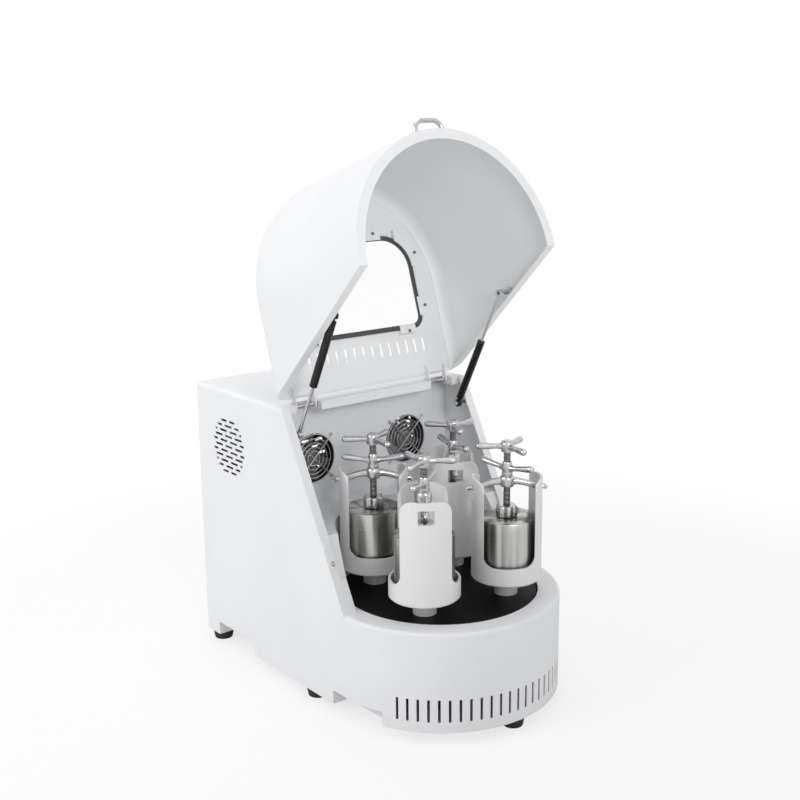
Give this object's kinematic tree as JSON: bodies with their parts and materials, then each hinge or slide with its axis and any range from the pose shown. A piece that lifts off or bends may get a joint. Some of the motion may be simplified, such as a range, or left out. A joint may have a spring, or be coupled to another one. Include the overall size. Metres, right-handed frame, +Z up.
{
  "type": "planetary ball mill",
  "caption": "Bench planetary ball mill: rounded sheet metal cabinet, gas strut hood with a window, and clamped grinding jars in holders on a geared turntable.",
  "frame": {"origin": "on the ground, below the middle of the bounding box", "axes": "+Z up, -Y is the round front, +X is the operator's right; the hood is open at rest"},
  "size_m": [0.47, 0.7446, 1.1114],
  "materials": {
    "white_enamel": "smooth white powder coat",
    "grey_enamel": "light grey powder coat",
    "black_enamel": "gloss black",
    "rubber_black": "matt black rubber",
    "black_plastic": "matt black moulding",
    "steel_bright": "bright plated steel",
    "steel_brushed": "turned stainless steel",
    "steel_cast": "machined cast iron",
    "motor_blue": "dark blue grey paint",
    "panel_grey": "dark grey panel",
    "button_green": "green cap",
    "button_red": "red cap",
    "clear_pane": "clear pane"
  },
  "bodies": {
    "cabinet": {"base_pan": "white_enamel", "cabinet_shell": "white_enamel", "drum_shell": "white_enamel", "rear_panel": "white_enamel", "chamber_liner": "grey_enamel", "rubber_feet": "rubber_black", "fan_housings": "black_plastic", "fan_guards": "steel_bright", "main_frame": "grey_enamel", "sun_gear": "steel_cast", "motor": "motor_blue", "drive_belt": "rubber_black", "control_panel": "panel_grey", "power_inlet": "black_plastic", "pivot_pins": "steel_bright"},
    "lid": {"lid_shell": "white_enamel", "lid_window": "clear_pane", "window_gasket": "rubber_black", "window_clips": "white_enamel", "lid_handle": "steel_bright", "hinge_arms": "white_enamel", "strut_lid_studs": "steel_bright"},
    "strut_rod_left": {"strut_rod_left": "steel_bright"},
    "strut_tube_left": {"strut_tube_left": "black_enamel"},
    "strut_tube_right": {"strut_tube_right": "black_enamel"},
    "strut_rod_right": {"strut_rod_right": "steel_bright"},
    "turntable": {"turntable": "black_enamel", "main_shaft": "steel_cast"},
    "motor_rotor": {"motor_pulley": "steel_cast"},
    "fan_left": {"fan_rotor_left": "black_plastic"},
    "fan_right": {"fan_rotor_right": "black_plastic"},
    "fan_side": {"side_fan_rotor": "black_plastic"},
    "start_button": {"start_button": "button_green"},
    "stop_button": {"stop_button": "button_red"},
    "speed_knob": {"speed_knob": "black_plastic"},
    "power_switch": {"power_switch": "button_red"},
    "planet_rear_right": {"planet_gear_rear_right": "steel_brushed", "jar_holder_rear_right": "white_enamel", "grinding_jar_rear_right": "steel_brushed", "clamp_yoke_rear_right": "steel_bright"},
    "foot_rear_right": {"pressure_foot_rear_right": "steel_bright"},
    "spindle_rear_right": {"clamp_spindle_rear_right": "steel_bright"},
    "planet_rear_left": {"planet_gear_rear_left": "steel_brushed", "jar_holder_rear_left": "white_enamel", "grinding_jar_rear_left": "steel_brushed", "clamp_yoke_rear_left": "steel_bright"},
    "foot_rear_left": {"pressure_foot_rear_left": "steel_bright"},
    "spindle_rear_left": {"clamp_spindle_rear_left": "steel_bright"},
    "planet_front_left": {"planet_gear_front_left": "steel_brushed", "jar_holder_front_left": "white_enamel", "grinding_jar_front_left": "steel_brushed", "clamp_yoke_front_left": "steel_bright"},
    "foot_front_left": {"pressure_foot_front_left": "steel_bright"},
    "spindle_front_left": {"clamp_spindle_front_left": "steel_bright"},
    "planet_front_right": {"planet_gear_front_right": "steel_brushed", "jar_holder_front_right": "white_enamel", "grinding_jar_front_right": "steel_brushed", "clamp_yoke_front_right": "steel_bright"},
    "foot_front_right": {"pressure_foot_front_right": "steel_bright"},
    "spindle_front_right": {"clamp_spindle_front_right": "steel_bright"}
  },
  "joints": [
    {"name": "lid_hinge", "type": "hinge", "parent": "cabinet", "child": "lid", "pos_m": [0, 0.067, 0.5679], "axis": [1, 0, 0], "range_deg": [0, 107.66]},
    {"name": "strut_left_swing", "type": "hinge", "parent": "cabinet", "child": "strut_rod_left", "pos_m": [-0.204, 0.0393, 0.5197], "axis": [1, 0, 0], "range_deg": [0, 116.92]},
    {"name": "strut_left_slide", "type": "slide", "parent": "strut_rod_left", "child": "strut_tube_left", "axis": [0, -0.4534, 0.8913], "range_m": [-0.08151, 0]},
    {"name": "strut_right_swing", "type": "hinge", "parent": "cabinet", "child": "strut_tube_right", "pos_m": [0.204, 0.0393, 0.5197], "axis": [1, 0, 0], "range_deg": [0, 116.92]},
    {"name": "strut_right_slide", "type": "slide", "parent": "strut_tube_right", "child": "strut_rod_right", "axis": [0, -0.4534, 0.8913], "range_m": [-0.08151, 0]},
    {"name": "turntable_spin", "type": "hinge", "parent": "cabinet", "child": "turntable", "pos_m": [0, -0.1373, 0.2], "axis": [0, 0, 1], "continuous": true},
    {"name": "motor_spin", "type": "hinge", "parent": "cabinet", "child": "motor_rotor", "pos_m": [0, 0.2, 0.15], "axis": [0, 0, 1], "continuous": true},
    {"name": "fan_left_spin", "type": "hinge", "parent": "cabinet", "child": "fan_left", "pos_m": [-0.12, 0.13, 0.441], "axis": [0, 1, 0], "continuous": true},
    {"name": "fan_right_spin", "type": "hinge", "parent": "cabinet", "child": "fan_right", "pos_m": [0.12, 0.13, 0.441], "axis": [0, 1, 0], "continuous": true},
    {"name": "fan_side_spin", "type": "hinge", "parent": "cabinet", "child": "fan_side", "pos_m": [-0.22, 0.2517, 0.457], "axis": [1, 0, 0], "continuous": true},
    {"name": "start_press", "type": "slide", "parent": "cabinet", "child": "start_button", "axis": [-1, 0, 0], "range_m": [0, 0.003], "stiffness_N_per_m": 400},
    {"name": "stop_press", "type": "slide", "parent": "cabinet", "child": "stop_button", "axis": [-1, 0, 0], "range_m": [0, 0.003], "stiffness_N_per_m": 400},
    {"name": "speed_turn", "type": "hinge", "parent": "cabinet", "child": "speed_knob", "pos_m": [0.23, 0.2797, 0.26], "axis": [-1, 0, 0], "range_deg": [0, 270]},
    {"name": "switch_rock", "type": "hinge", "parent": "cabinet", "child": "power_switch", "pos_m": [0.12, 0.3543, 0.107], "axis": [1, 0, 0], "range_deg": [-9, 9]},
    {"name": "planet_spin_rear_right", "type": "hinge", "parent": "turntable", "child": "planet_rear_right", "pos_m": [0.10507, -0.0574, 0.25], "axis": [0, 0, 1], "continuous": true},
    {"name": "foot_lift_rear_right", "type": "slide", "parent": "planet_rear_right", "child": "foot_rear_right", "axis": [0, 0, 1], "range_m": [0, 0.01501]},
    {"name": "spindle_turn_rear_right", "type": "hinge", "parent": "foot_rear_right", "child": "spindle_rear_right", "pos_m": [0.10507, -0.0574, 0.45], "axis": [0, 0, 1], "range_deg": [0, 1800]},
    {"name": "planet_spin_rear_left", "type": "hinge", "parent": "turntable", "child": "planet_rear_left", "pos_m": [-0.0799, -0.03223, 0.25], "axis": [0, 0, 1], "continuous": true},
    {"name": "foot_lift_rear_left", "type": "slide", "parent": "planet_rear_left", "child": "foot_rear_left", "axis": [0, 0, 1], "range_m": [0, 0.01501]},
    {"name": "spindle_turn_rear_left", "type": "hinge", "parent": "foot_rear_left", "child": "spindle_rear_left", "pos_m": [-0.0799, -0.03223, 0.45], "axis": [0, 0, 1], "range_deg": [0, 1800]},
    {"name": "planet_spin_front_left", "type": "hinge", "parent": "turntable", "child": "planet_front_left", "pos_m": [-0.10507, -0.2172, 0.25], "axis": [0, 0, 1], "continuous": true},
    {"name": "foot_lift_front_left", "type": "slide", "parent": "planet_front_left", "child": "foot_front_left", "axis": [0, 0, 1], "range_m": [0, 0.01501]},
    {"name": "spindle_turn_front_left", "type": "hinge", "parent": "foot_front_left", "child": "spindle_front_left", "pos_m": [-0.10507, -0.2172, 0.45], "axis": [0, 0, 1], "range_deg": [0, 1800]},
    {"name": "planet_spin_front_right", "type": "hinge", "parent": "turntable", "child": "planet_front_right", "pos_m": [0.0799, -0.24237, 0.25], "axis": [0, 0, 1], "continuous": true},
    {"name": "foot_lift_front_right", "type": "slide", "parent": "planet_front_right", "child": "foot_front_right", "axis": [0, 0, 1], "range_m": [0, 0.01501]},
    {"name": "spindle_turn_front_right", "type": "hinge", "parent": "foot_front_right", "child": "spindle_front_right", "pos_m": [0.0799, -0.24237, 0.45], "axis": [0, 0, 1], "range_deg": [0, 1800]}
  ],
  "couplings": [
    {"joint": "strut_left_swing", "follows": "lid_hinge", "ratio": 1.0859},
    {"joint": "strut_left_slide", "follows": "lid_hinge", "m_per_rad": -0.043327},
    {"joint": "strut_right_swing", "follows": "lid_hinge", "ratio": 1.0859},
    {"joint": "strut_right_slide", "follows": "lid_hinge", "m_per_rad": -0.043327},
    {"joint": "motor_spin", "follows": "turntable_spin", "ratio": 2.6667},
    {"joint": "planet_spin_rear_right", "follows": "turntable_spin", "ratio": 2},
    {"joint": "foot_lift_rear_right", "follows": "spindle_turn_rear_right", "m_per_rad": 0.00047746},
    {"joint": "planet_spin_rear_left", "follows": "turntable_spin", "ratio": 2},
    {"joint": "foot_lift_rear_left", "follows": "spindle_turn_rear_left", "m_per_rad": 0.00047746},
    {"joint": "planet_spin_front_left", "follows": "turntable_spin", "ratio": 2},
    {"joint": "foot_lift_front_left", "follows": "spindle_turn_front_left", "m_per_rad": 0.00047746},
    {"joint": "planet_spin_front_right", "follows": "turntable_spin", "ratio": 2},
    {"joint": "foot_lift_front_right", "follows": "spindle_turn_front_right", "m_per_rad": 0.00047746}
  ]
}
